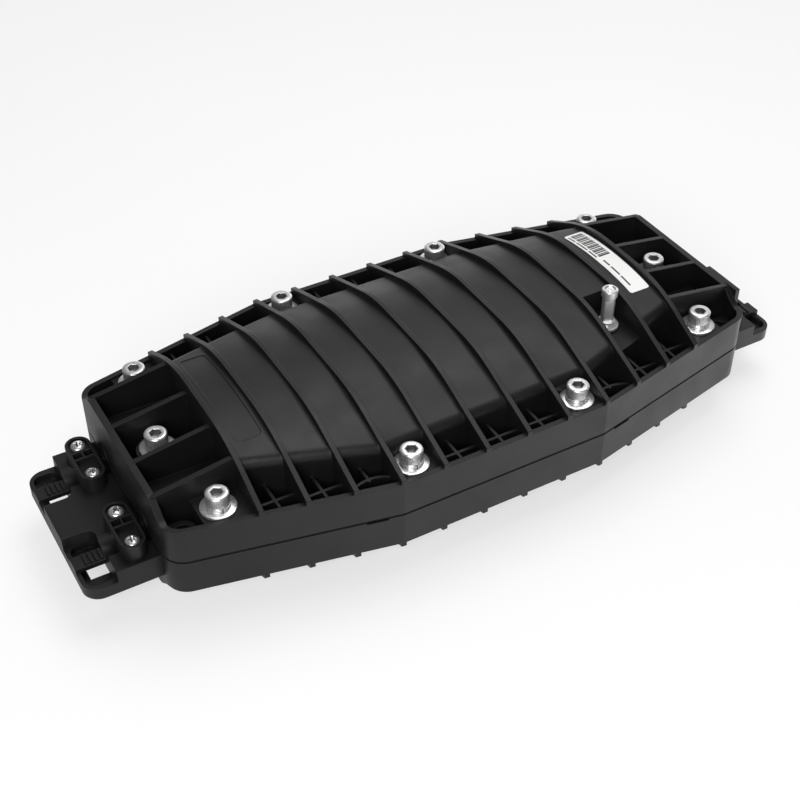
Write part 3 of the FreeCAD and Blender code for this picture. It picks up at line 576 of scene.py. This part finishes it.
def washers(material):
    """Flat washers with rolled edges, and split spring washers over them."""
    flat = rolled_profile(FLAT_WASHER_RADII, BOLT_SEAT, FLAT_WASHER_THICK, FLAT_WASHER_EDGE)
    spring_low = BOLT_SEAT + FLAT_WASHER_THICK
    spring = rolled_profile(SPRING_WASHER_RADII, spring_low, SPRING_WASHER_THICK, SPRING_WASHER_EDGE)
    washer_set("flat_washer_set", "flat_washers", material, flat, 0, 360)
    washer_set("spring_washer_set", "spring_washers", material, spring, SPRING_START_DEG, SPRING_SWEEP_DEG)


def cross_depth(x, y):
    """How deep the cross recess of a pan head lies at a point, from 0 to 1."""
    near, far = sorted((abs(x), abs(y)))
    half = CROSS_ARM_HALF + CROSS_ROOT_FLARE * max(0.0, 1 - far / CROSS_ROOT_REACH)
    if far > CROSS_REACH or near > half:
        return 0.0
    fall = min(1.0, (CROSS_REACH - far) / CROSS_END_SLOPE)
    edge = min(1.0, (half - near) / CROSS_SIDE_SLOPE)
    return fall * edge


def pan_dome(r):
    """Height of a pan head over its seat."""
    share = 1 - (r / (PAN_R + 0.02)) ** PAN_DOME_POWER
    return PAN_SIDE_HIGH + PAN_DOME_HIGH * math.sqrt(max(0.0, share))


def pan_screw(points, faces, place, turn):
    """Domed screw head with a cross recess, on a threaded shank."""
    x, y, seat = place
    tip = CLAMP_SCREW_TIP
    count = PAN_POINTS
    start = len(points)
    for k in range(PAN_DOME_RINGS):
        r = PAN_R * (k + 0.5) / PAN_DOME_RINGS
        for i in range(count):
            angle = 2 * math.pi * i / count
            sunk = CROSS_DEEP * cross_depth(r * math.cos(angle + turn), r * math.sin(angle + turn))
            points.append((x + r * math.cos(angle), y + r * math.sin(angle), seat + pan_dome(r) - sunk))
    thread = thread_rings(tip + 0.6, seat - 0.6, CLAMP_SCREW_R, CLAMP_THREAD_DEEP, CLAMP_THREAD_PITCH)
    below = [(seat + 0.55, PAN_R), (seat + 0.1, PAN_R - 0.1), (seat, PAN_R - 0.3), (seat, CLAMP_SCREW_R)]
    below += thread[::-1] + [(tip, CLAMP_SCREW_R - 0.5)]
    for height, r in below:
        points.extend(ring((x, y), r, height, count))
    last = start + (PAN_DOME_RINGS + len(below) - 1) * count
    for low in range(start, last, count):
        for i in range(count):
            j = (i + 1) % count
            faces.append((low + i, low + count + i, low + count + j, low + j))
    points.append((x, y, seat + PAN_SIDE_HIGH + PAN_DOME_HIGH - CROSS_DEEP))
    points.append((x, y, tip))
    for i in range(count):
        j = (i + 1) % count
        faces.append((start + i, start + j, len(points) - 2))
        faces.append((last + j, last + i, len(points) - 1))


def in_cross(point):
    """Whether a point lies in the cross recess of a clamp screw."""
    r, place = nearest(CLAMP_SCREW_PLACES, point)
    height = point.z - place[2]
    return r < 2.5 and 0.8 < height < pan_dome(r) - 0.25


def clamp_screws(material, shade):
    """Pan screws of the clamps, each turned a little further than the one before."""
    points = []
    faces = []
    for number, place in enumerate(CLAMP_SCREW_PLACES):
        pan_screw(points, faces, place, CROSS_FIRST_TURN + CROSS_TURN_STEP * number)
    thing = piece("clamp_screw_set", points, faces, material, "housing")
    # painted shade inside the cross recesses
    paint_recess_shade(thing, shade, in_cross)
    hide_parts("clamp_screws")


def area_light(name, place, aim, size, power):
    """Square lamp at a place, aimed at a point."""
    lamp = bpy.data.lights.new(name, "AREA")
    lamp.shape = "RECTANGLE"
    lamp.size = size
    lamp.size_y = size
    lamp.energy = power
    thing = bpy.data.objects.new(name, lamp)
    thing.location = place
    thing.rotation_euler = (Vector(aim) - Vector(place)).to_track_quat("-Z", "Y").to_euler()
    scene.collection.objects.link(thing)


def floor():
    """Wide level floor."""
    mesh = bpy.data.meshes.new("floor")
    corners = [(-1, -1), (1, -1), (1, 1), (-1, 1)]
    mesh.from_pydata([(FLOOR_REACH * x, FLOOR_REACH * y, 0) for x, y in corners], [], [(0, 1, 2, 3)])
    mesh.materials.append(floor_paper())
    thing = bpy.data.objects.new("floor", mesh)
    scene.collection.objects.link(thing)


def world():
    """Even fill light; a white backdrop for the camera, and walls with one bright side for reflections."""
    studio = bpy.data.worlds.new("studio")
    studio.use_nodes = True
    scene.world = studio
    tree = studio.node_tree
    fill = tree.nodes["Background"]
    fill.inputs["Color"].default_value = (1, 1, 1, 1)
    fill.inputs["Strength"].default_value = WORLD_FILL
    ray = tree.nodes.new("ShaderNodeTexCoord").outputs["Generated"]
    steps = [(0.3, grey(0.05)), (0.64, grey(0.08)), (0.73, grey(0.34)), (0.82, grey(1.0))]
    walls = add(tree, "ShaderNodeBackground", Strength=WORLD_WALLS)
    tree.links.new(ramp(tree, towards(tree, ray, WORLD_BRIGHT_WAY), steps), walls.inputs["Color"])
    backdrop = add(tree, "ShaderNodeBackground", Color=(*grey(BACKDROP_WHITE), 1), Strength=1.0)
    camera_ray = tree.nodes.new("ShaderNodeLightPath").outputs["Is Camera Ray"]
    shown = mixed(tree, camera_ray, walls.outputs[0], backdrop.outputs[0])
    light = mixed(tree, seen_directly(tree), fill.outputs[0], shown)
    tree.links.new(light, tree.nodes["World Output"].inputs["Surface"])


def camera():
    """Camera at a turn, a rise and a distance from its target."""
    level = math.cos(CAMERA_RISE)
    back = (math.sin(CAMERA_TURN) * level, -math.cos(CAMERA_TURN) * level, math.sin(CAMERA_RISE))
    lens = bpy.data.cameras.new("camera")
    lens.sensor_width = CAMERA_SENSOR
    lens.lens = CAMERA_LENS
    lens.clip_start = 0.01
    lens.clip_end = 50
    thing = bpy.data.objects.new("camera", lens)
    thing.location = [t + CAMERA_DISTANCE * b for t, b in zip(CAMERA_TARGET, back)]
    thing.rotation_euler = (math.radians(90) - CAMERA_RISE, 0, CAMERA_TURN)
    scene.collection.objects.link(thing)
    scene.camera = thing


scene.view_settings.view_transform = "Standard"
camera()
floor()
world()
area_light("key", **KEY_LAMP)
area_light("front", **FRONT_LAMP)
finishes = finish_nodes()
zinc = finishes["zinc_steel"]
# darker zinc for painted shade in sockets and cross recesses
zinc_painted_shade = bright_metal("zinc_painted_shade", *ZINC_PAINTED_SHADE)
cover_bolts(zinc, zinc_painted_shade)
washers(zinc)
clamp_screws(zinc, zinc_painted_shade)
